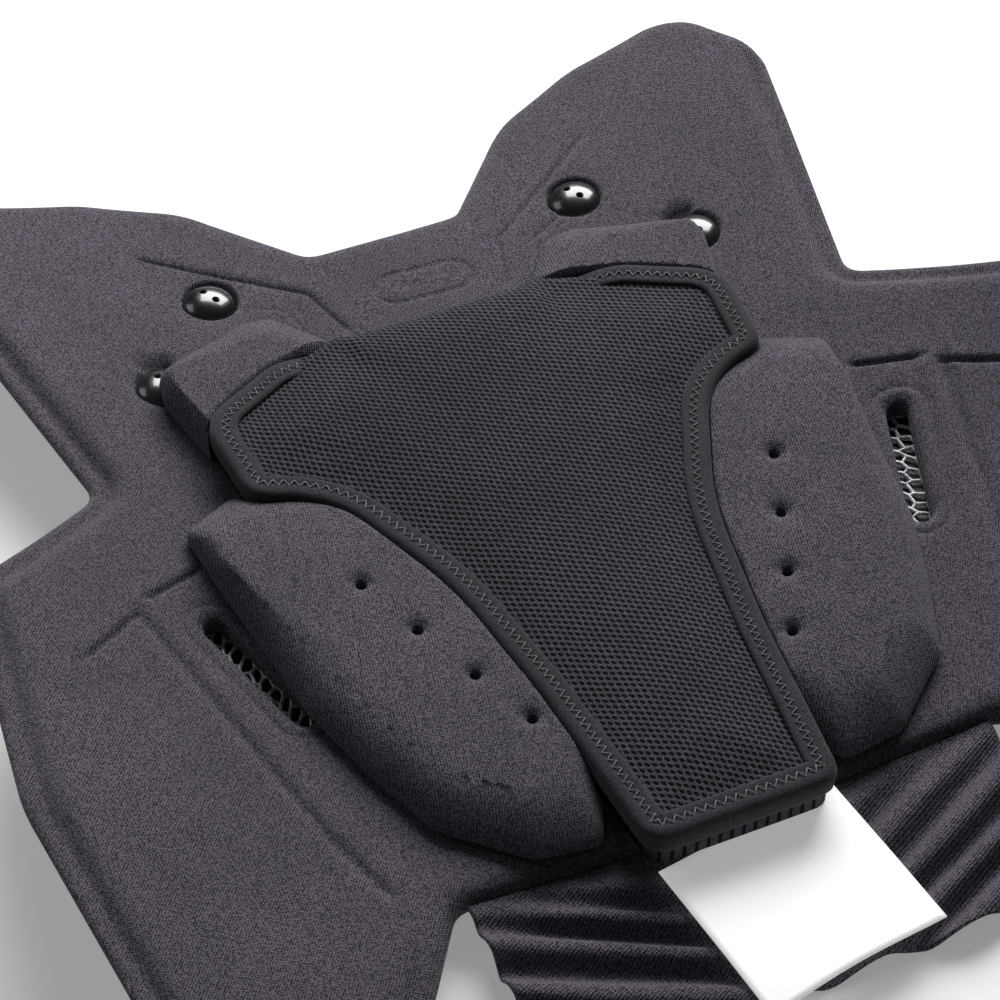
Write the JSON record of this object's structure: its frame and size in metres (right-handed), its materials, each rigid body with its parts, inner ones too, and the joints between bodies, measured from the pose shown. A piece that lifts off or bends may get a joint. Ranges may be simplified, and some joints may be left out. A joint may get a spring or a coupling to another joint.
{
  "type": "chest protector",
  "caption": "Chest protector lying inner face up: moulded shell, foam liner with raised pads, bound mesh panel, vent slots, domed bolts and a gathered lower gusset.",
  "frame": {"origin": "middle of the box's base, on the plane that the outer shell rests on", "axes": "+X to the viewer's right across the chest, +Y towards the neck, +Z away from the surface, out of the inner face"},
  "size_m": [0.3912, 0.4004, 0.048],
  "materials": {
    "shell_plastic": "near-black moulded plastic with a light grain",
    "jersey": "charcoal ribbed jersey laminated to foam",
    "pad_jersey": "charcoal jersey stretched over raised foam",
    "panel_mesh": "near-black spacer mesh with staggered holes",
    "binding_tape": "dark folded binding with zigzag stitching",
    "bolt_gloss": "black glossy dome with two spanner holes",
    "grille_strand": "pale glossy honeycomb strands",
    "label_satin": "plain white satin"
  },
  "bodies": {
    "root": {"outer_shell": "shell_plastic", "chest_liner": "jersey", "vent_grille_left": "grille_strand", "vent_grille_right": "grille_strand", "lower_pad_left": "pad_jersey", "lower_pad_right": "pad_jersey", "upper_pad_left": "pad_jersey", "upper_pad_right": "pad_jersey", "mesh_panel": "panel_mesh", "panel_binding": "binding_tape", "bolt_upper_left": "bolt_gloss", "bolt_upper_right": "bolt_gloss", "bolt_lower_left": "bolt_gloss", "bolt_lower_right": "bolt_gloss", "label": "label_satin", "lower_gusset": "jersey"}
  },
  "joints": []
}
